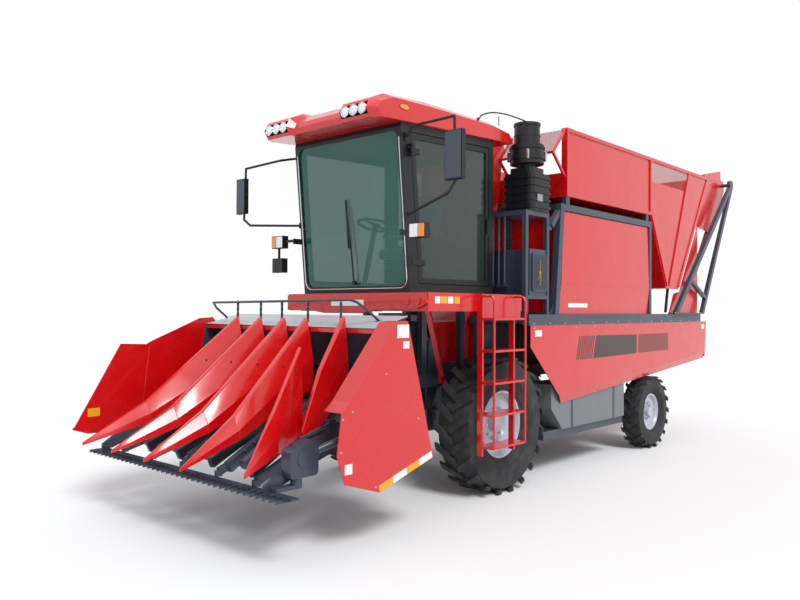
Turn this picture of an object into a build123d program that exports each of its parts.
from build123d import *
import math
import os

# Self-propelled corn harvester, all sizes in mm.
# X = machine's left, Y = rearward, Z = up.  Y 0 is the front axle, Z 0 the ground.
# Everything is moved by SHIFT_Y on export so that the origin is the middle of the
# overall box's floor.
SHIFT_Y = -1670.0

# ---- driving sizes -------------------------------------------------------
FRONT_R, FRONT_W, FRONT_X = 715.0, 430.0, 950.0      # 16.9-28 tyre
REAR_R, REAR_W, REAR_X = 500.0, 285.0, 1030.0        # 11.2-20 tyre
WHEELBASE = 3634.0
KING_X = 800.0
BEAM_X = 1147.0                                      # side beam's outer face
BEAM_Y0, BEAM_Y1, BEAM_Z0, BEAM_Z1 = 425.0, 5426.0, 1757.0, 1877.0
PANEL_X = 1140.0
PIVOT_Y, PIVOT_Z = -350.0, 1500.0                    # header's lift hinge
AUGER_Y, AUGER_Z, AUGER_R = -1800.0, 1120.0, 215.0
TIPS_X = [-1200.0, -650.0, -100.0, 450.0, 1100.0]    # dividers' tips at TIP_Y
TOPS_X = [-840.0, -460.0, -90.0, 235.0, 745.0]       # and their rear ends at TOP_Y
TIP_Y, TOP_Y = -3450.0, -2000.0
HEAD_X0, HEAD_X1 = -1420.0, 1130.0                   # header's inner width
TANK_X = 1120.0
DUMP_Y, DUMP_Z = 6700.0, 4080.0                      # ear tank's tipping pin
DOOR_X, DOOR_Y = 832.0, -1170.0                      # cab door's hinge

WELD = 0.2                                           # gap left where one sheet is welded to the next

nodes = {}


def lane(i, y):
    """Middle line of divider i at a given Y; between two dividers for i + 0.5."""
    a, b = int(math.floor(i)), int(math.ceil(i))
    t = (y - TIP_Y) / (TOP_Y - TIP_Y)
    at = [TIPS_X[k] + (TOPS_X[k] - TIPS_X[k]) * t for k in (a, b)]
    return (at[0] + at[1]) / 2


def box(x0, x1, y0, y1, z0, z1):
    return Pos((x0 + x1) / 2, (y0 + y1) / 2, (z0 + z1) / 2) * Box(x1 - x0, y1 - y0, z1 - z0)


def side(x0, x1, pts):
    """Prism of a (Y, Z) outline between two X planes."""
    pl = Plane(origin=(x0, 0, 0), x_dir=(0, 1, 0), z_dir=(1, 0, 0))
    return extrude(pl * make_face(Polyline(*[(y, z) for y, z in pts], close=True)), x1 - x0)


def front(y0, y1, pts):
    """Prism of an (X, Z) outline between two Y planes."""
    pl = Plane(origin=(0, y1, 0), x_dir=(1, 0, 0), z_dir=(0, -1, 0))
    return extrude(pl * make_face(Polyline(*pts, close=True)), y1 - y0)


def flat(z0, z1, pts):
    """Prism of an (X, Y) outline between two heights."""
    return extrude(Pos(0, 0, z0) * make_face(Polyline(*pts, close=True)), z1 - z0)


def rod(a, b, r, r2=0.0):
    """Straight bar, or tube when r2 is given, between two points."""
    a, b = Vector(*a), Vector(*b)
    pl = Plane(origin=a, z_dir=(b - a).normalized())
    c = Circle(r) if not r2 else Circle(r) - Circle(r2)
    return extrude(pl * c, (b - a).length)


def beam(a, b, w, h):
    """Rectangular bar between two points of one X plane, w along X."""
    a, b = Vector(*a), Vector(*b)
    pl = Plane(origin=a, x_dir=(1, 0, 0), z_dir=(b - a).normalized())
    return extrude(pl * Rectangle(w, h), (b - a).length)


def pipe(pts, r):
    """Bent bar: straight pieces with ball joints."""
    s = None
    for a, b in zip(pts, pts[1:]):
        c = rod(a, b, r)
        s = c if s is None else s + c
    for p in pts[1:-1]:
        s = s + Pos(*p) * Sphere(r)
    return s


def ring(x0, x1, y, z, r, r2=0.0):
    return rod((x0, y, z), (x1, y, z), r, r2)


def soft(pts, r, n=3):
    """Outline with every corner rounded by about r, as n short chords."""
    out = []
    for i, p in enumerate(pts):
        a, b = pts[i - 1], pts[(i + 1) % len(pts)]
        la, lb = math.dist(p, a), math.dist(p, b)
        q = min(r, la * 0.45, lb * 0.45)
        p0 = [p[k] + (a[k] - p[k]) * q / la for k in (0, 1)]
        p1 = [p[k] + (b[k] - p[k]) * q / lb for k in (0, 1)]
        for m in range(n + 1):
            t = m / n
            out.append(tuple((1 - t) ** 2 * p0[k] + 2 * t * (1 - t) * p[k] + t * t * p1[k] for k in (0, 1)))
    return out


def bar(a, b, w, h):
    """Rectangular bar between any two points, w across and h in its upright plane."""
    a, b = Vector(*a), Vector(*b)
    d = (b - a).normalized()
    return extrude(Plane(origin=a, x_dir=Vector(0, 0, 1).cross(d).normalized(), z_dir=d) * Rectangle(w, h), (b - a).length)


def both(s):
    return [s, mirror(s, about=Plane.YZ)]


def put(name, *solids):
    out = []
    for s in solids:
        for t in (s if isinstance(s, (list, tuple)) else [s]):
            out += list(t.solids())
    nodes[name] = out


def spun(xc, y, z, pts):
    """Solid of revolution about the X axis line through (xc, y, z); pts are (x, r)."""
    pl = Plane(origin=(xc, y, z), x_dir=(1, 0, 0), z_dir=(0, -1, 0))
    f = pl * make_face(Polyline(*pts, close=True))
    return revolve(f, Axis((xc, y, z), (1, 0, 0)), 360)


def wheel(side_sign, xc, y, r, w, rim_r, lugs, lug_h, bolt_r, hub_r, face_in, bore):
    """Tyre with chevron lugs and a dished rim.  Profile tables are (x outboard, radius)."""
    h = w / 2
    body = r - lug_h
    tyre_pts = [(-h * 0.62, rim_r), (-h * 0.97, rim_r + (body - rim_r) * 0.42), (-h * 0.90, body - 22),
                (-h * 0.55, body), (h * 0.55, body), (h * 0.90, body - 22),
                (h * 0.97, rim_r + (body - rim_r) * 0.42), (h * 0.62, rim_r)]
    z = r
    t = spun(xc, y, z, [(side_sign * a, b) for a, b in tyre_pts])
    # one lug: a slanted bar from the middle of the tread to the shoulder
    step = 360.0 / lugs
    lw = math.pi * r / lugs * 0.62
    ln, sl = h * 0.99, lw * 2.1
    drum = ring(-w, w, 0, 0, r - 0.3)
    made = []
    for s in (1, -1):
        pl = Plane(origin=(0, 0, body - 14), x_dir=(1, 0, 0), z_dir=(0, 0, 1))
        f = pl * make_face(Polyline((-4 * s, -lw / 2), (s * ln, sl - lw * 0.55), (s * ln, sl + lw * 0.55), (-4 * s, lw / 2), close=True))
        lug = extrude(f, lug_h + 14) & drum
        for k in range(lugs):
            made.append(Pos(xc, y, z) * (Rot((k + (0 if s > 0 else 0.5)) * step, 0, 0) * lug))
    t = t + made
    rb = rim_r - 0.0
    o = side_sign
    rim_pts = [(-h * 0.60, rb - 0.02), (-h * 0.60, rb - 24), (-h * 0.30, rb - 50), (h * 0.18, rb - 56),
               (h * 0.18 + 4, bolt_r + 40), (h * 0.02, bolt_r + 14), (h * 0.02, bore + 0.0), (h * 0.02 + 14, bore + 0.0),
               (h * 0.02 + 14, bolt_r + 6), (h * 0.18 + 16, bolt_r + 40), (h * 0.18 + 16, rb - 44),
               (h * 0.40, rb - 40), (h * 0.60, rb - 22), (h * 0.60, rb - 0.02)]
    rim = spun(xc, y, z, [(o * a, b) for a, b in rim_pts])
    # hub drum reaching inboard over the spindle
    x_face = xc + o * (h * 0.02 + 6)
    drum = ring(face_in, x_face, y, z, hub_r, bore)
    cap = ring(x_face, x_face + o * 70, y, z, hub_r * 0.8)
    rim = rim + drum + cap
    n = 8
    for k in range(n):
        a = 2 * math.pi * k / n
        rim = rim + ring(x_face, x_face + o * 30, y + bolt_r * math.cos(a), z + bolt_r * math.sin(a), 14)
    return t, rim


# ---- chassis -------------------------------------------------------------
rail = box(370, 450, -600, 5500, 1090, 1240)
frame = rail + mirror(rail, about=Plane.YZ)
for y in (-560, 420, 1180, 2900, 4300, 5420):
    frame = frame + box(-380, 380, y, y + 80, 1110, 1220)
for sx in (1, -1):
    for y in (-110, 60):
        frame = frame + box(sx * 410 - 35, sx * 410 + 35, y - 30, y + 50, 800, 1100)
# posts that carry the cab platform
for x in (410, -410):
    frame = frame + box(x - 35, x + 35, -560, -480, 1230, 2081) + box(x - 35, x + 35, 110, 190, 1230, 2081)
frame = frame + box(-300, 300, 430, 490, 1210, 1330)
for s in (1, -1):
    for y in (1400, 2120):
        frame = frame + box(min(s * 340, s * 380), max(s * 340, s * 380), y, y + 80, 1130, 1210)
frame = frame + box(-60, 60, WHEELBASE - 90, WHEELBASE + 90, 640, 1110) + box(-450, 450, WHEELBASE - 60, WHEELBASE + 60, 1095, 1200)

# drive axle: beam, middle gearbox, end reductions and spindles
ax = box(-690, 690, -95, 95, 620, 800) + box(-190, 190, -170, 190, 560, 800) + ring(-700, 700, 0, FRONT_R, 75)
for s in (1, -1):
    ax = ax + ring(s * 640, s * 718, 0, FRONT_R, 150) + ring(s * 718, s * 958, 0, FRONT_R, 62)
put("front_axle", ax)

# rear axle beam with kingpin eyes
rx = box(-690, 690, WHEELBASE - 60, WHEELBASE + 60, 440, 560) + box(-110, 110, WHEELBASE - 88, WHEELBASE + 88, 420, 640)
for s in (1, -1):
    for z0, z1 in ((585, 615), (385, 415)):
        rx = rx + box(s * 680 - (0 if s > 0 else 130), s * 680 + (130 if s > 0 else 0), WHEELBASE - 55, WHEELBASE + 55, z0, z1) \
            + rod((s * KING_X, WHEELBASE, z0), (s * KING_X, WHEELBASE, z1), 55)
    rx = rx + box(min(s * 650, s * 690), max(s * 650, s * 690), WHEELBASE - 55, WHEELBASE + 55, 385, 615)
    rx = rx - rod((s * KING_X, WHEELBASE, 380), (s * KING_X, WHEELBASE, 620), 22.05)
put("rear_axle", rx)

# ---- side beams and deck ribs -------------------------------------------
sb = box(BEAM_X - 90, BEAM_X, BEAM_Y0, BEAM_Y1, BEAM_Z0, BEAM_Z1)
deck = sb + mirror(sb, about=Plane.YZ)
for y in (1180, 2350, 3500, 4400, 5346):
    deck = deck + box(-1100, 1100, y, y + 80, 1777, 1857)
for s in (1, -1):
    deck = deck + box(min(s * 330, s * 1100), max(s * 330, s * 1100), 425, 505, 1777, 1857) + box(s * 410 - 30, s * 410 + 30, 425, 505, 1240, 1790)
for x in (-410, 410):
    for y in (2350, 3500, 4400, 5346):
        deck = deck + box(x - 30, x + 30, y, y + 80, 1240, 1790)

# ---- engine and belly ----------------------------------------------------
put("engine", box(-340, 340, 1290, 2280, 1130, 1740))

# ---- side panels (left and right) ---------------------------------------
# outline in (Y, Z): top edge, nose, crease and rear
crease = [(470, BEAM_Z0), (470, 1515), (1085, 935), (5630, 1262), (5680, BEAM_Z0)]
pn = side(PANEL_X - 6, PANEL_X, crease)


def band_point(y, z):
    """The band below the crease leans inward 0.35 mm per mm of drop."""
    drop = 935 + (y - 1085) * (1262 - 935) / (5630 - 1085) - z
    return (PANEL_X - 0.35 * drop, y, z)


band = extrude(make_face(Polyline(*[band_point(y, z) for y, z in [(1085, 937), (1190, 832), (5630, 1172), (5630, 1264)]], close=True)), 6, dir=(-1, 0, 0))
pn = pn + band + box(PANEL_X - 30, PANEL_X - 1, 480, 5670, 1741, BEAM_Z0)
pn = pn + side(PANEL_X - 46, PANEL_X - 2, [(5660, 1748), (5672, 1748), (5630, 1200), (5618, 1200)])
put("side_panels", both(pn))

# ---- husker box under the ear tank --------------------------------------
HUSK = [(1112, BEAM_Z1), (1231, 3092), (3552, 3092), (3552, BEAM_Z1)]
def husk_sec(q):
    return [(-1104 + q, BEAM_Z1 + q * 1.5), (-1128 + q, 2240), (-1112 + q, 3092 + q * 18), (1112 - q, 3092 + q * 18), (1128 - q, 2240), (1104 - q, BEAM_Z1 + q * 1.5)]
hb = front(1000, 3552, husk_sec(0)) & side(-1200, 1200, HUSK)
hb = hb - (front(1000, 3546, husk_sec(6)) & side(-1200, 1200, [(1118, BEAM_Z1), (1249, 3220), (3546, 3220), (3546, BEAM_Z1)]))
hb = hb - box(-330, 330, 1050, 1270, 2000, 2600)
for s in (1, -1):
    # stiffening bead along the crease and a handle recess strip at the rear edge
    hb = hb + box(min(s * 1122, s * 1131), max(s * 1122, s * 1131), 1300, 3500, 2234, 2250)
# welded from two creased sides, two ends and a floor, each its own sheet with a weld gap between
inside = husk_sec(6)
ends = hb & front(1000, 3560, husk_sec(6 + WELD))
rest = hb - front(1000, 3560, inside)
floor = rest & box(inside[0][0] + WELD, -inside[0][0] - WELD, 1000, 3560, BEAM_Z1, BEAM_Z1 + 9)
put("husker_box", rest - box(inside[0][0], -inside[0][0], 1000, 3560, BEAM_Z1 - 1, BEAM_Z1 + 9.2), ends, floor)

# ---- dark frame that carries the tank -----------------------------------
FRAME_Z0 = 3100.0                                    # underside of the frame's top ring
tf, posts = box(-1060, 1060, 1146, 1220, 3106, 3174) + box(-1060, 1060, 3562, 3628, 3106, 3174), []
for s in (1, -1):
    x = s * 1090
    tf = tf + box(x - 40, x + 40, 1132, 3630, FRAME_Z0, 3180)
    g = side(x - 40, x + 40, [(1010, BEAM_Z1), (1096, BEAM_Z1), (1222, 3180), (1140, 3180)]) \
        + side(x - 4, x + 4, [(1096, 2100), (1096, 1990), (1030, BEAM_Z1), (930, BEAM_Z1)]) \
        + beam((x, 1175, 3130), (x, 962, 2900), 60, 60) + box(x - 30, x + 10, 920.3, 975, 2850, 2920)
    posts += [g & box(-1200, 1200, 800, 1300, 1800, FRAME_Z0 - WELD), box(x - 40, x + 40, 3560, 3630, BEAM_Z1, FRAME_Z0 - WELD)]
    for y in (1270, 3470):
        tf = tf + box(s * 1090 - 30, s * 1090 + 30, y, y + 80, 3170, 3274.7)
put("tank_frame", tf)
put("tank_frame_posts", posts)

# ---- A-frames at the rear with the tipping pin ---------------------------
af = []
for s in (1, -1):
    x = s * 1172
    g = beam((x, 4370, 1880), (x, DUMP_Y + 10, DUMP_Z - 20), 56, 80) + beam((x, 5400, 1880), (x, DUMP_Y + 30, DUMP_Z - 40), 56, 70)
    g = g + beam((x, 4960, 2390), (x, 5560, 2120), 50, 56)
    g = g - box(x - 60, x + 60, 4000, 6900, 1700, BEAM_Z1)
    g = g + ring(x - 28, x + 28, DUMP_Y, DUMP_Z, 75) + box(min(s * 1090, s * 1200), max(s * 1090, s * 1200), 4300, 5426, BEAM_Z1, 1892)
    g = g + ring(s * 985, s * 1180, DUMP_Y, DUMP_Z, 28)
    af.append(g)
put("rear_a_frames", af)

# red plates between the A-frames' feet, under the tank's rear wall
rs_plate = side(1092, 1098, [(4310, 1892.3), (4480, 2180), (4700, 2215), (5400, 3250), (5420, 3250), (5420, 1892.3)])
rs_plate = rs_plate + box(1075, 1098, 5414, 5420, 1892.3, 3250)
put("rear_side_plates", both(rs_plate))

# ---- conveyor from the feeder up to the tank ----------------------------
ev = side(-300, 300, [(-200, 1330), (560, 1330), (740, 1480), (1140, 3820), (1180, 3960), (1120, 4010), (900, 3990),
                      (800, 3900), (480, 1900), (400, 1800), (-200, 1780)])
ev = ev - side(-292, 292, [(-210, 1338), (556, 1338), (732, 1484), (1132, 3822), (1190, 3830), (1190, 3950), (1116, 4002), (904, 3982),
                           (808, 3896), (488, 1898), (404, 1792), (-210, 1772)])
put("ear_elevator", ev)

# ---- cab -----------------------------------------------------------------
CAB = [(-1136, 2087), (-1290, 3700), (-1280, 3740), (250, 3810), (250, 2087)]
cab = side(-785, 785, CAB)
cab = cab - side(-745, 745, [(-1096, 2130), (-1246, 3700), (210, 3770), (210, 2130)])
WIND = soft([(-730, 2160), (730, 2160), (730, 3672), (-730, 3672)], 95)
cab = cab - front(-1500, -1000, WIND)                                                              # windscreen
cab = cab - side(700, 800, [(-1010, 2180), (-1150, 3665), (170, 3720), (170, 2180)])               # door
cab = cab - side(-800, -700, [(-1030, 2240), (-1160, 3640), (150, 3690), (150, 2240)])             # right window
cab = cab - box(-640, 640, 200, 260, 2700, 3640)                                                   # rear window

ws = side(-745, 745, [(-1127, 2140), (-1121, 2140), (-1268, 3690), (-1274, 3690)]) & front(-1500, -1000, WIND)
rw = side(-768, -762, [(-1030, 2240), (-1160, 3640), (150, 3690), (150, 2240)])
bw = box(-640, 640, 226, 232, 2700, 3640)
put("cab_glass", ws, rw, bw)

door = side(747, 783, [(-1002, 2188), (-1141, 3657), (162, 3711), (162, 2188)])
door = door - side(740, 790, [(-946, 2240), (-1080, 3606), (110, 3656), (110, 2240)])
for z, yb in ((3480, -1120), (2390, -1020)):
    door = door + box(789, 803, DOOR_Y, yb + 90, z - 28, z + 28) + rod((DOOR_X, DOOR_Y, z - 30), (DOOR_X, DOOR_Y, z + 30), 16) \
        + box(789, DOOR_X, DOOR_Y - 6, DOOR_Y + 10, z - 26, z + 26) + box(778, 803, yb + 12, yb + 90, z - 28, z + 28)
door = door - rod((DOOR_X, DOOR_Y, 2300), (DOOR_X, DOOR_Y, 3600), 8.05)
put("cab_door", door + box(780, 805, 115, 150, 2760, 2920))
put("door_glass", side(762, 768, [(-946, 2240), (-1080, 3606), (110, 3656), (110, 2240)]))
for z in (3480, 2390):
    cab = cab + rod((DOOR_X, DOOR_Y, z - 60), (DOOR_X, DOOR_Y, z + 60), 8)
    for dz in (-60, 38):
        cab = cab + box(780, DOOR_X + 10, DOOR_Y - 16, DOOR_Y + 16, z + dz, z + dz + 22)
put("cab_frame", cab)

# roof: sections from the right to the left edge; lamp pods bulge at the front corners
# columns: X; then front lower, front middle, front upper, brow, crown front, crown rear, rear upper, rear lower as (Y, Z)
EDGE = [(-1585, 3722), (-1655, 3800), (-1600, 3868), (-1430, 3935), (-900, 3952), (200, 3958), (500, 3925), (566, 3850)]
POD = [(-1690, 3712), (-1748, 3800), (-1690, 3888), (-1500, 3972), (-900, 4012), (200, 4012), (520, 3968), (572, 3858)]
SUNK = [(-1650, 3722), (-1668, 3780), (-1640, 3836), (-1500, 3930), (-900, 4040), (200, 4040), (520, 3985), (572, 3858)]
UNDER = [(572, 3822), (250, 3810.3), (-1280, 3740.3)]
sects = []
for x, pts in ((-830, EDGE), (-745, POD), (-405, POD), (-345, SUNK), (345, SUNK), (405, POD), (745, POD), (830, EDGE)):
    sects.append(Plane(origin=(x, 0, 0), x_dir=(0, 1, 0), z_dir=(1, 0, 0)) * make_face(Polyline(*pts, *UNDER, close=True)))
roof = loft(sects, ruled=True)
LAMPS_X = (-690, -575, -460, 460, 575, 690)
for a, b in ((-752, -398), (398, 752)):
    roof = roof - box(a, b, -1800, -1668, 3742, 3858)
put("cab_roof", roof)

lamps = [rod((x, -1722, 3800), (x, -1668, 3800), 50) + rod((x, -1714, 3800), (x, -1668, 3800), 54) for x in LAMPS_X]

# ---- cab platform --------------------------------------------------------
pf = box(-800, 1195, -1350, 200, 1910, 2087) - box(-794, 1189, -1344, 194, 1900, 2081)
pf = pf + box(-600, 600, -1344, -1330, 1905, 2081)
# fascia: pressed front with tapered ends, and two round bosses
pf = pf + front(-1376, -1350, [(-790, 1915), (-790, 2075), (1180, 2075), (1195, 1985), (1060, 1930), (560, 1922), (330, 1885), (-200, 1885), (-430, 1915)])
for x in (946, 1082):
    pf = pf + rod((x, -1386, 2005), (x, -1350, 2005), 42)
# strut down to the chassis rail
pf = pf + (bar((1034, -1212, 2064), (490, -280, 1205), 50, 50) & box(400, 1180, -1340, 190, 1000, 2084)) + box(450.3, 500, -300, -230, 1120, 1225)
put("cab_platform", pf)

# ---- seat, console and steering -----------------------------------------
seat = box(-260, 260, -560, -60, 2480, 2600) + side(-250, 250, [(-160, 2590), (-60, 2590), (40, 3220), (-40, 3240)]) + box(-180, 180, -480, -120, 2130, 2490)
put("operator_seat", seat)
con = box(300, 470, -560, 0, 2130, 2640)
put("console", con)
st = box(-60, 60, -1040, -950, 2130, 2165) + rod((0, -1000, 2150), (0, -820, 2820), 28) + Pos(0, -815, 2830) * (Rot(-15, 0, 0) * (Cylinder(205, 24) - Cylinder(178, 40) + Box(30, 400, 16) + Cylinder(45, 24)))
put("steering_wheel", st)

# ---- ladder and rails ----------------------------------------------------
ld = box(1200, 1262, -600, -575, 480, 2087) + box(1200, 1262, -50, -25, 480, 2087)
for z in (560, 876, 1192, 1508, 1824):
    ld = ld + box(1202, 1400, -600, -25, z, z + 22)
ld = ld + box(1195, 1262, -600, 80, 1830, 2082)
for y in (-588, -37):
    # handrail from the landing over the ends of the treads
    ld = ld + pipe([(1230, y, 2060), (1370, y, 2060), (1396, y, 2020), (1396, y, 570)], 12)
put("ladder", ld)

# ---- mirrors and small lamps --------------------------------------------
ml = pipe([(797, -1215, 3600), (900, -1235, 3690), (1400, -1235, 3700), (1420, -1235, 3110), (1330, -1235, 3000), (797, -1190, 2850)], 13)
ml = ml + box(1330, 1530, -1290, -1235, 3110, 3560) + box(785, 800, -1240, -1190, 3560, 3640) + box(785, 800, -1216, -1170, 2820, 2880)
mr = pipe([(-797, -1215, 3600), (-900, -1400, 3560), (-1420, -1480, 3520), (-1450, -1480, 2940), (-1360, -1460, 2870), (-797, -1190, 2850)], 13)
mr = mr + box(-1530, -1370, -1530, -1480, 3000, 3400) + box(-800, -785, -1240, -1190, 3560, 3640) + box(-800, -785, -1216, -1170, 2820, 2880)
put("mirrors", ml, mr)
sl = box(940, 1130, -1330, -1250, 2600, 2740) + box(785, 960, -1300, -1280, 2660, 2690) + box(785, 797, -1300, -1140, 2640, 2700)
sr = box(-1130, -940, -1330, -1250, 2600, 2740) + box(-960, -785, -1300, -1280, 2660, 2690) + box(-797, -785, -1300, -1140, 2640, 2700) \
    + box(-1120, -950, -1330, -1250, 2330, 2490) + box(-1060, -1040, -1300, -1280, 2480, 2610)

# ---- air cleaner and cooler ---------------------------------------------
AC_X, AC_Y, AC_Z = 925.0, 720.0, 3040.0
def plan(w, r):
    return soft([(AC_X - w, AC_Y - w), (AC_X + w, AC_Y - w), (AC_X + w, AC_Y + w), (AC_X - w, AC_Y + w)], r)
ac = flat(AC_Z, AC_Z + 430, plan(196, 60))
for k in range(5):
    ac = ac + flat(AC_Z + 34 + 84 * k, AC_Z + 62 + 84 * k, plan(209, 64))
ac = ac + flat(AC_Z + 430, AC_Z + 500, plan(150, 60)) + rod((AC_X, AC_Y, AC_Z + 490), (AC_X, AC_Y, AC_Z + 560), 96)
ac = ac + rod((AC_X, AC_Y, AC_Z + 550), (AC_X, AC_Y, AC_Z + 770), 192) + rod((AC_X, AC_Y, AC_Z + 600), (AC_X, AC_Y, AC_Z + 640), 204) \
    + rod((AC_X, AC_Y, AC_Z + 720), (AC_X, AC_Y, AC_Z + 745), 204)
ac = ac + rod((AC_X, AC_Y, AC_Z + 760), (AC_X, AC_Y, AC_Z + 1020), 146) + rod((AC_X, AC_Y, AC_Z + 990), (AC_X, AC_Y, AC_Z + 1020), 154)
put("air_cleaner", ac)
# oil cooler box with a bulged side door, on a stand of angle posts that also holds the air cleaner
CX0, CX1, CY0, CY1, CZ0, CZ1 = 560.0, 1090.0, 520.0, 890.0, 2090.0, 2610.0
cb = box(CX0, CX1, CY0, CY1, CZ0, CZ1)
cb = cb + side(CX1, CX1 + 16, soft([(CY0 + 40, CZ0 + 40), (CY1 - 30, CZ0 + 40), (CY1 - 30, CZ1 - 40), (CY0 + 40, CZ1 - 40)], 50))
cb = cb + box(CX0 - 20, 1100, CY0 - 90, CY1 + 30, CZ0 - 40, CZ0)
for x in (CX0 + 5, 1075):
    for y in (CY0 - 65, CY1 + 5):
        cb = cb + box(x - 25, x + 25, y - 25, y + 25, BEAM_Z1, AC_Z - 55)
cb = cb + box(CX0 - 20, 1100, CY0 - 90, CY1 + 30, AC_Z - 55, AC_Z)
for y in (CY0 - 90, CY1 - 20):
    cb = cb + box(CX0 - 20, 1100, y, y + 50, BEAM_Z1, 1900)
for x in (620, 700, 780):
    # pipes from the cooler's front face up to the shelf
    cb = cb + rod((x, CY0 - 34, CZ0 + 100), (x, CY0 - 34, AC_Z - 54), 16) + box(x - 20, x + 20, CY0 - 54, CY0 + 1, CZ0 + 96, CZ0 + 136)
put("cooler", cb)

# ---- tanks behind the side panels ---------------------------------------
ft = side(700, 1085, [(1250, 520), (2860, 520), (2860, 1060), (1000, 1060), (1000, 780)])
put("fuel_tanks", both(ft))
tray = box(460, 1040, 900, 2900, 420, 520) + box(445, 520, 1100, 1160, 500, 1140) + box(445, 520, 2700, 2760, 500, 1140) + box(500, 700, 1100, 1160, 1000, 1060) + box(500, 700, 2700, 2760, 1000, 1060)
frame = frame + tray + mirror(tray, about=Plane.YZ)

# ---- ear tank ------------------------------------------------------------
TANK = [(1260, 4090), (1260, 3275), (3600, 3275), (4150, 2250), (4600, 2250), (5830, 4090)]
# five sheets welded at the folds: front, floor, front slope, bottom and rear slope, 6 mm thick
SHEETS = [[(1260, 3281 + WELD), (1266, 3281 + WELD), (1266, 4090), (1260, 4090)],
          [(1260, 3275), (3600 - WELD, 3275), (3604 - WELD, 3281), (1260, 3281)],
          [(3600, 3275), (4150, 2250), (4154, 2256), (3604, 3281)],
          [(4150 + WELD, 2250), (4600 - WELD, 2250), (4596 - WELD, 2256), (4154 + WELD, 2256)],
          [(4600, 2250), (5830, 4090), (5811.7, 4090), (4596, 2256)]]
tk = [side(-TANK_X + 6, TANK_X - 6, p) for p in SHEETS]
tk[0] = tk[0] - front(1200, 1300, [(-1060, 4100), (1060, 4100), (1060, 3560), (-1060, 3560)])
put("ear_tank", tk)
sheet = side(TANK_X - 6, TANK_X, TANK) - side(1100, 1130, [(3640, 4030), (3640, 3760), (4940, 3760), (5000, 4030)])
RAIL = 18.0                                          # rims stand this far out of the side sheets
sheet = sheet + box(TANK_X - 6, TANK_X + RAIL, 1262, 5790, 4046, 4090)
sheet = sheet + box(TANK_X - 6, TANK_X + RAIL, 1262, 3590, 3277, 3320)
sheet = sheet + box(TANK_X - 6, TANK_X + RAIL, 1262, 1306, 3277, 4090) + box(TANK_X - 6, TANK_X + RAIL, 3580, 3624, 3277, 4090)
sheet = sheet + beam((TANK_X + 6, 5000, 4060), (TANK_X + 6, 4260, 2300), 24, 40) + beam((TANK_X + 6, 3640, 3290), (TANK_X + 6, 4180, 2290), 24, 30)
sheet = sheet + beam((TANK_X + 4, 4600, 2290), (TANK_X + 4, 5760, 4030), 20, 60)
sheet = sheet & side(0, 1200, [(1250, 3270), (1250, 4090), (5829.6, 4090), (4600, 2250.2), (4150, 2250.2), (3600, 3275)])
put("ear_tank_sides", both(sheet))
# wings at the front, beside the elevator's head: tubes with mesh between them, seated on the front sheet
wing = bar((TANK_X - 14, 1262, 4070), (TANK_X - 14, 985, 3760), 26, 26) + bar((TANK_X - 14, 985, 3760), (TANK_X - 14, 1262, 3500), 26, 26)
wing = wing + box(345, TANK_X - 2, 972, 998, 3747, 3773) + bar((358, 1262, 4070), (358, 985, 3760), 26, 26) + bar((358, 985, 3760), (358, 1262, 3500), 26, 26)
put("ear_tank_wings", both(wing & box(300, 1200, 900, 1259.8, 2200, 4090)))
arms = side(-1010, 1010, [(5838, 4075), (5838, 4087), (6600, 4242), (6600, 4230)])
for s in (1, -1):
    a = side(min(s * 1000, s * 1040), max(s * 1000, s * 1040), [(5299, 3295), (5830.7, 4090.5), (5838, 4160), (6760, 4160), (6790, 4000), (6330, 3260), (6200, 3240)])
    a = a - ring(s * 990, s * 1050, DUMP_Y, DUMP_Z, 28.05)
    b = side(min(s * 1030, s * 1046), max(s * 1030, s * 1046), [(5850, 4170), (6600, 4320), (6620, 4140), (5900, 4100)])
    arms = arms + a + b
ms = []
for s in (1, -1):
    ms.append(side(min(s * 1110, s * 1114), max(s * 1110, s * 1114), [(3628, 4042), (3628, 3748), (4950, 3748), (5014, 4042)]))
    # wing meshes: the slope and the cheek
    w = [(1250, 4071), (987, 3777), (990, 3774), (1253, 4068)]
    ms.append(side(min(s * 371.3, s * 1092.7), max(s * 371.3, s * 1092.7), w))
put("tank_mesh", ms)

# ---- tank tipping cylinders ---------------------------------------------
TB_Y, TB_Z, TA_Y, TA_Z = 5200.0, 1990.0, 6250.0, 3320.0
bs, rs, bk = [], [], []
tlen = math.hypot(TA_Y - TB_Y, TA_Z - TB_Z)
uy, uz = (TA_Y - TB_Y) / tlen, (TA_Z - TB_Z) / tlen
for s in (1, -1):
    x = s * 955
    p = lambda d: (x, TB_Y + uy * d, TB_Z + uz * d)
    b = rod(p(95), p(1080), 52, 30.05) + rod(p(75), p(97), 52) + rod(p(20), p(80), 24) + ring(x - 25, x + 25, TB_Y, TB_Z, 45)
    b = b - ring(x - 30, x + 30, TB_Y, TB_Z, 22.05)
    bs.append(b)
    r = rod(p(300), p(tlen - 30), 30) + ring(x - 25, x + 25, TA_Y, TA_Z, 45)
    r = r + ring(x - 30, x + 30, TA_Y, TA_Z, 22)
    rs.append(r)
    k = ring(x - 60, x + 60, TB_Y, TB_Z, 22)
    for dx in (-60, 35):
        k = k + box(x + dx, x + dx + 25, TB_Y - 50, TB_Y + 50, 1850, TB_Z + 40)
    k = k + box(x - 60, x + 60, TB_Y - 90, TB_Y + 90, 1820, 1870)
    edge = s * (BEAM_X - 90 - WELD)
    k = k + box(min(x, edge), max(x, edge), TB_Y - 90, TB_Y + 90, 1800, 1850)
    bk.append(k)
put("dump_cylinder_barrels", bs)
put("dump_cylinder_rods", rs)
put("dump_cylinder_brackets", bk)
put("side_beams", deck)
for s in (1, -1):
    # the pin's outer end stays on the arm, so that the eye may drift when the tank tips
    arms = arms + ring(min(s * 986, s * 1005), max(s * 986, s * 1005), TA_Y, TA_Z, 45)
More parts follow.
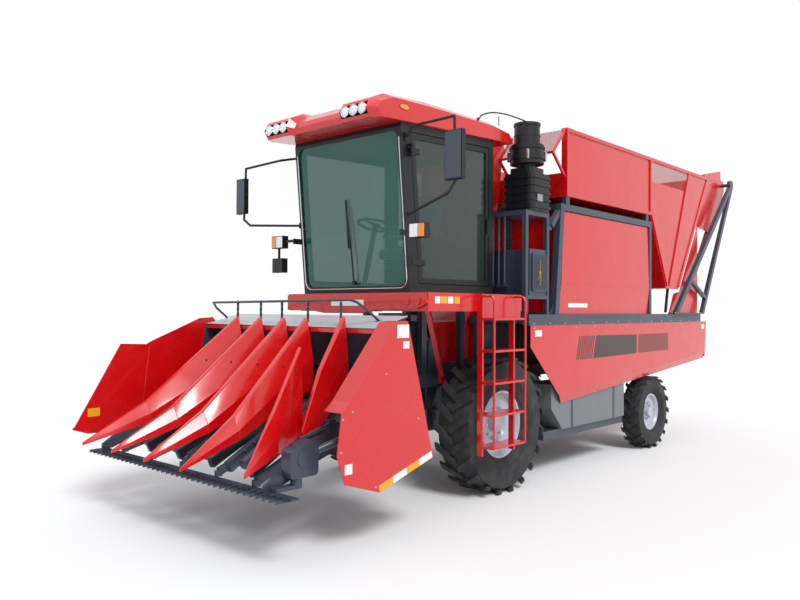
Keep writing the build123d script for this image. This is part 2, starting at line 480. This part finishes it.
put("ear_tank_arms", arms)

# ---- rear end ------------------------------------------------------------
re = box(-1000, 1000, 5426, 5440, 1260, 1800) + box(-80, 80, 5510, 5700, 1120, 1145) + box(-80, 80, 5510, 5700, 1205, 1230) + box(-200, 200, 5500, 5520, 1100, 1240)
re = re - rod((0, 5640, 1100), (0, 5640, 1240), 15.5)
re = re + box(-300, 300, 5430, 5510, 1240, 1270)
put("tow_hitch", re)
rl = []
for s in (1, -1):
    rl.append(box(min(s * 820, s * 980), max(s * 820, s * 980), 5440, 5480, 1600, 1700))
put("lamps", lamps, sl, sr, rl)

# ---- header --------------------------------------------------------------
# feeder house: sloping box from the trough up to the lift hinge
fh = side(-340, 340, [(-1510, 860), (-1510, 1380), (-520, 1800), (-250, 1560), (-260, 1420), (-560, 1280)])
fh = fh - side(-334, 334, [(-1520, 868), (-1520, 1372), (-516, 1790), (-240, 1540), (-240, 1430), (-556, 1288)])
fh = fh + ring(-362, -300, PIVOT_Y, PIVOT_Z, 70) + ring(300, 362, PIVOT_Y, PIVOT_Z, 70)
fh = fh - ring(-400, -280, PIVOT_Y, PIVOT_Z, 32.05) - ring(280, 400, PIVOT_Y, PIVOT_Z, 32.05)
put("feeder_house", fh)

# trough and back sheet
cy = AUGER_Y
def arc_pts(r, a0, a1, n):
    return [(cy + r * math.cos(math.radians(a0 + (a1 - a0) * i / n)), AUGER_Z + r * math.sin(math.radians(a0 + (a1 - a0) * i / n))) for i in range(n + 1)]
outer = arc_pts(256, 180, 360, 10)
inner = arc_pts(250, 360, 180, 10)
tr = side(HEAD_X0, HEAD_X1, outer + inner)
tr = tr + side(HEAD_X0, HEAD_X1, [(-1550, 1110), (-1544, 1110), (-1740, 1790), (-1746, 1790)])
tr = tr + box(HEAD_X0, HEAD_X1, -1560, -1510, 790, 870) + box(HEAD_X0, HEAD_X1, -1780, -1700, 1760, 1807.5)
tr = tr - box(-334, 334, -1700, -1500, 872, 1370)
tr = tr + box(HEAD_X0, HEAD_X1, -2140, -2050, 1020, 1095)
for x in (HEAD_X0, HEAD_X1 - 6):
    tr = tr + side(x, x + 6, [(-2140, 1020), (-1995, 1756), (-1975, 1758), (-1700, 1800), (-1520, 1300), (-1510, 800), (-1700, 830), (-1900, 840), (-2050, 950)])

# auger: tube with flights wound towards the middle, here as slanted discs
au = ring(-1405, 1115, AUGER_Y, AUGER_Z, 80) + ring(-1419, 1129, AUGER_Y, AUGER_Z, 25)
for k in range(13):
    x = -1340 + k * 195
    if abs(x + 50) < 330:
        continue
    au = au + spun(x, AUGER_Y, AUGER_Z, [(-4, 70), (-4, AUGER_R), (4, AUGER_R), (4, 70)])
for k in range(4):
    a = math.radians(45 + 90 * k)
    au = au + beam((-50, AUGER_Y + 70 * math.cos(a), AUGER_Z + 70 * math.sin(a)), (-50, AUGER_Y + 190 * math.cos(a), AUGER_Z + 190 * math.sin(a)), 420, 10)
put("header_auger", au)

# row dividers: three-section sheet hoods, open below
DIV_Y, DIV_LIP = -2103.0, 1095.0                     # bulkhead that stands on the trough's lip
# columns: Y, ridge height, foot height, half foot width, half ridge width
LONG = [(-3450, 684, 656, 6, 4), (-2900, 1030, 838, 100, 26), (-2000, 1840, 1208, 118, 34)]
HOOD = [(-2700, 950, 880, 30, 10), (-2400, 1420, 990, 70, 26), (-2000, 1862, 1230, 74, 32)]
SNOUT = [(-3350, 724, 690, 6, 4), (-2960, 1150, 800, 62, 20), (-2580, 1610, 905, 52, 22)]


def hood_of(rows, xs, wall, leg):
    """Ridged sheet hood lofted through its rows, open below, with a rear bulkhead standing on leg = (Y, Z)."""
    def sec(t, x, q):
        y, zr, zf, wf, wr = t
        zr, zf, wf, wr = zr - q * 1.6, zf - (30 if q else 0), max(wf - q, 1.5), max(wr - q * 0.6, 1)
        pl = Plane(origin=(x, y, 0), x_dir=(1, 0, 0), z_dir=(0, -1, 0))
        zm = zf + (zr - zf) * 0.42
        return pl * make_face(Polyline((-wf, zf), (wf, zf), (wf * 0.94, zm), (wr, zr - wr * 0.5), (wr * 0.55, zr), (-wr * 0.55, zr), (-wr, zr - wr * 0.5), (-wf * 0.94, zm), close=True))
    outer = loft([sec(r, x, 0) for r, x in zip(rows, xs)], ruled=True)
    (y0, *a), (y1, *b) = rows[0], rows[1]
    t = 0.36
    first = (y0 + (y1 - y0) * t, *[p + (q - p) * t for p, q in zip(a, b)])
    (y2, *c), (y3, *d) = rows[-2], rows[-1]
    u = 1 + 10 / (y3 - y2)
    last = (y2 + (y3 - y2) * u, *[p + (q - p) * u for p, q in zip(c, d)])
    inner = loft([sec(r, x, wall) for r, x in zip([first, *rows[1:-1], last],
                 [xs[0] + (xs[1] - xs[0]) * t, *xs[1:-1], xs[-2] + (xs[-1] - xs[-2]) * u])], ruled=True)
    y, z = leg
    k = 0 if y < rows[1][0] else 1
    w = (y - rows[k][0]) / (rows[k + 1][0] - rows[k][0])
    x, zf = xs[k] + (xs[k + 1] - xs[k]) * w, rows[k][2] + (rows[k + 1][2] - rows[k][2]) * w
    return (outer - inner) + (outer & box(x - 200, x + 200, y - 3, y + 3, 0, 2000)) + box(x - 46, x + 46, y - 3, y + 3, z, zf + 40)


SNOUT_X = [1140, 985, 835]
HOOD_X = [1010, 880, 745]
hoods = [hood_of(LONG, [lane(i, r[0]) for r in LONG], 6, (DIV_Y, DIV_LIP)) for i in range(4)]
hoods.append(hood_of(HOOD, HOOD_X, 6, (DIV_Y, DIV_LIP)))
# the short front snout stands on the fifth arm, whose top is 799.7 high there
hoods.append(hood_of(SNOUT, SNOUT_X, 6, (-2600, 799.8)))
put("row_dividers", hoods)

# tall right sheet and the left drive cover
rp = side(-1432, -1420, [(-3450, 773), (-3422, 798), (-2969, 1572), (-2690, 1560), (-2650, 1585), (-2069, 1822), (-1905, 1832), (-1827, 1732),
                         (-1500, 800), (-2400, 700), (-3300, 720)])
# drive cover: flank, sloping top flange and rear flange, open towards the knife drive
COVER = [(-1917, 1829), (-2054, 1824), (-2588, 1205), (-2672, 1133), (-2722, 805), (-2636, 575), (-2247, 450), (-1580, 643)]
dc = side(1250, 1450, COVER)
dc = dc - side(1240, 1442, [(-1925, 1821), (-2050, 1816), (-2581, 1200), (-2664, 1129), (-2714, 806), (-2631, 581), (-2246, 459), (-1589, 649)])
dc = dc - side(1240, 1442, [(-2760, 1126), (-2600, 1126), (-2600, 592), (-2250, 470), (-1700, 628), (-1700, 560), (-2250, 380), (-2760, 500)])
strip = side(HEAD_X0 + 6.3, HEAD_X1 - 6.3, [(-1988, 1716), (-1980, 1716), (-1980, 1752), (-1988, 1752)])
put("header_side_sheets", rp, dc, strip)

# row units: deck plates and two snapping rolls in each row
ru = []
for i in range(4):
    xr, xf = lane(i + 0.5, -2160), lane(i + 0.5, -3080)
    g = box(xr - 172, xr + 172, -2200, -2140, 1000, 1090)
    for s in (1, -1):
        g = g + bar((xr + s * 140, -2160, 1060), (xf + s * 150, -3075, 652), 56, 90)
        g = g + rod((xr + s * 50, -2160, 1060), (xf + s * 55, -3000, 672), 43)
        # gathering chain's lugs along the deck plate
        for k in range(7):
            t = (k + 0.6) / 8
            c = [xr + s * 140 + (xf - xr + s * 10) * t, -2160 - 915 * t, 1060 - 408 * t]
            g = g + box(c[0] - s * 26 - 32, c[0] - s * 26 + 32, c[1] - 9, c[1] + 9, c[2] + 36, c[2] + 58)
    g = g & box(-2000, 2000, -3400, -2140, 400, 1300)
    ru.append(g)
put("row_units", ru)
hbm = tr + box(HEAD_X0, 1442, -2260, -2205, 820, 960)
# brackets and arms stand in the gaps between the row units: columns are X at the beam, X at the cutter bar, half width
ARMS = [(-900, -1108, 12), (-483, -602, 12), (-101, -100, 9), (302, 425, 12), (790, 930, 20)]
for x, w in [(-1395, 20), (1100, 20)] + [(a[0], a[2]) for a in ARMS]:
    hbm = hbm + side(x - w, x + w, [(-2260, 830), (-2205, 830), (-2130, 1025), (-2130, 1062), (-2200, 1062), (-2260, 950)])
for x0, x1, w in ARMS:
    hbm = hbm + bar((x0, -2225, 890), (x1, -3080, 595), 2 * w, 70) + box(x1 - w, x1 + w, -3110, -3050, 559, 610)
hbm = hbm + side(-345, 345, [(-1660, 1372), (-1512, 1384), (-1512, 1420), (-1660, 1420)])
hbm = hbm + side(-1410, -1380, [(-1900, 830), (-2240, 830), (-2240, 900), (-1900, 900)]) + side(1090, 1120, [(-1900, 830), (-2240, 830), (-2240, 900), (-1900, 900)])
hbm = hbm - ring(HEAD_X0 - 5, HEAD_X0 + 10, AUGER_Y, AUGER_Z, 25.05) - ring(HEAD_X1 - 10, HEAD_X1 + 5, AUGER_Y, AUGER_Z, 25.05)
put("header_frame", hbm)

# pale sheet over the trough, from the dividers up to the rear
top = side(HEAD_X0, HEAD_X1, [(-1978, 1759), (-1560, 1862), (-1560, 1868), (-1978, 1765)])
for x in (-1400, 930):
    top = top - box(x - 30, x + 30, -1775, -1705, 1700, 1900)
put("header_top_sheet", top)

# cutter bar with guards
kb = box(-1450, 1450, -3170, -3090, 545, 559)
for k in range(38):
    x = -1412 + k * 76.3
    kb = kb + flat(540, 566, [(x - 14, -3165), (x + 14, -3165), (x + 3, -3280), (x - 3, -3280)])
put("cutter_bar", kb)
arm_side = [(-3160, 559), (-3160, 610), (-2700, 900), (-2260, 950), (-2260, 830), (-2700, 700), (-3060, 559)]
# knife drive on the left arm: wobble box, its throw arm and the drive shaft's tube
kd = side(1110, 1140, arm_side) + side(1130, 1240, soft([(-3000, 640), (-3000, 860), (-2800, 930), (-2720, 900), (-2720, 640)], 40))
kd = kd + rod((1185, -2900, 560), (1185, -2900, 900), 46) + ring(1185, 1245, -2860, 780, 72) + box(1150, 1220, -3120, -2880, 559, 590)
kd = kd + rod((1180, -2770, 800), (1330, -2420, 930), 32) + rod((1150, -2840, 915), (1120, -2480, 1000), 16) + box(1100, 1140, -2520, -2440, 900, 1030)
put("cutter_bar_arms", kd, side(-1420, -1395, arm_side))

# guard tube with hanging chains over the trough
gt = pipe([(-1400, -1740, 1807.6), (-1400, -1740, 1830), (-1395, -1880, 1935), (-1330, -1960, 1990), (800, -1960, 2010), (860, -1940, 1990), (925, -1840, 1900),
           (930, -1740, 1830), (930, -1740, 1807.6)], 12)
for x in (-886, -497, -163, 223, 676):
    # hanging chain: links turned a quarter from one to the next
    gt = gt + rod((x, -1960, 2012), (x, -1960, 1984), 6)
    for k in range(7):
        w, d = (13, 4) if k % 2 else (4, 13)
        gt = gt + box(x - w, x + w, -1960 - d, -1960 + d, 1986 - (k + 1) * 26 - 4, 1986 - k * 26 + 4)
put("guard_tube", gt)

# hinge pin brackets for the header on the chassis
for s in (1, -1):
    g = ring(s * 290, s * 415, PIVOT_Y, PIVOT_Z, 32)
    g = g + side(min(s * 375, s * 415), max(s * 375, s * 415), [(-430, 1230), (-250, 1230), (-290, 1580), (-410, 1580)])
    frame = frame + g

# lift cylinders under the feeder
LB_Y, LB_Z, LA_Y, LA_Z = -300.0, 900.0, -1250.0, 830.0
bs, rs, bk = [], [], []
tlen = math.hypot(LA_Y - LB_Y, LA_Z - LB_Z)
uy, uz = (LA_Y - LB_Y) / tlen, (LA_Z - LB_Z) / tlen
lug = None
for s in (1, -1):
    x = s * 270
    p = lambda d: (x, LB_Y + uy * d, LB_Z + uz * d)
    b = rod(p(90), p(640), 48, 28.05) + rod(p(72), p(92), 48) + rod(p(18), p(80), 20) + ring(x - 25, x + 25, LB_Y, LB_Z, 42)
    bs.append(b - ring(x - 30, x + 30, LB_Y, LB_Z, 20.05))
    r = rod(p(250), p(tlen - 28), 28) + ring(x - 25, x + 25, LA_Y, LA_Z, 42)
    rs.append(r + ring(x - 26, x + 26, LA_Y, LA_Z, 20))
    k = ring(x - 55, x + 55, LB_Y, LB_Z, 20)
    for dx in (-55, 33):
        k = k + side(x + dx, x + dx + 22, [(-340, 860), (-250, 860), (-120, 1108), (-340, 1108)])
    frame = frame + k + box(x - 55, x + 55, -340, -120, 1100, 1112)
    for dx in (-50, 28):
        g = side(x + dx, x + dx + 22, [(-1300, 790), (-1200, 790), (-1150, 1028), (-1400, 920)])
        lug = g if lug is None else lug + g
    for dx in (-58, 46):
        lug = lug + ring(x + dx, x + dx + 12, LA_Y, LA_Z, 24)
nodes["feeder_house"] = (Part() + nodes["feeder_house"] + lug).solids()
put("lift_cylinder_barrels", bs)
put("lift_cylinder_rods", rs)
frame = frame + box(-380, 380, -340, -120, 1110, 1160)
put("chassis_frame", frame)

# ---- wheels --------------------------------------------------------------
tyre, rim = wheel(1, FRONT_X, 0.0, FRONT_R, FRONT_W, 356.0, 20, 34, 150, 110, 725, 62.05)
put("front_left_tyre", tyre)
put("front_left_rim", rim)
put("front_right_tyre", mirror(tyre, about=Plane.YZ))
put("front_right_rim", mirror(rim, about=Plane.YZ))
tyre, rim = wheel(1, REAR_X, WHEELBASE, REAR_R, REAR_W, 254.0, 18, 24, 105, 78, 892, 40.05)
k = rod((KING_X, WHEELBASE, 372), (KING_X, WHEELBASE, 628), 22) + box(KING_X - 50, KING_X + 50, WHEELBASE - 50, WHEELBASE + 50, 421, 579)
k = k + ring(KING_X + 40, 886, WHEELBASE, REAR_R, 70) + ring(886, 1034, WHEELBASE, REAR_R, 40)
k = k + rod((KING_X, WHEELBASE, 622), (KING_X, WHEELBASE, 634), 34) + rod((KING_X, WHEELBASE, 366), (KING_X, WHEELBASE, 378), 34)
for tag, m in (("rear_left", False), ("rear_right", True)):
    for part, solid in (("tyre", tyre), ("rim", rim), ("knuckle", k)):
        put(f"{tag}_{part}", mirror(solid, about=Plane.YZ) if m else solid)

# ---- export --------------------------------------------------------------
os.makedirs("parts", exist_ok=True)
for name, solids in nodes.items():
    moved = [s.moved(Location((0, SHIFT_Y, 0))) for s in solids]
    export_step(Compound(children=moved) if len(moved) > 1 else moved[0], f"parts/{name}.step")
    bb = Compound(children=moved).bounding_box() if len(moved) > 1 else moved[0].bounding_box()
    print(name, len(moved), [round(v) for v in (bb.min.X, bb.max.X, bb.min.Y, bb.max.Y, bb.min.Z, bb.max.Z)])
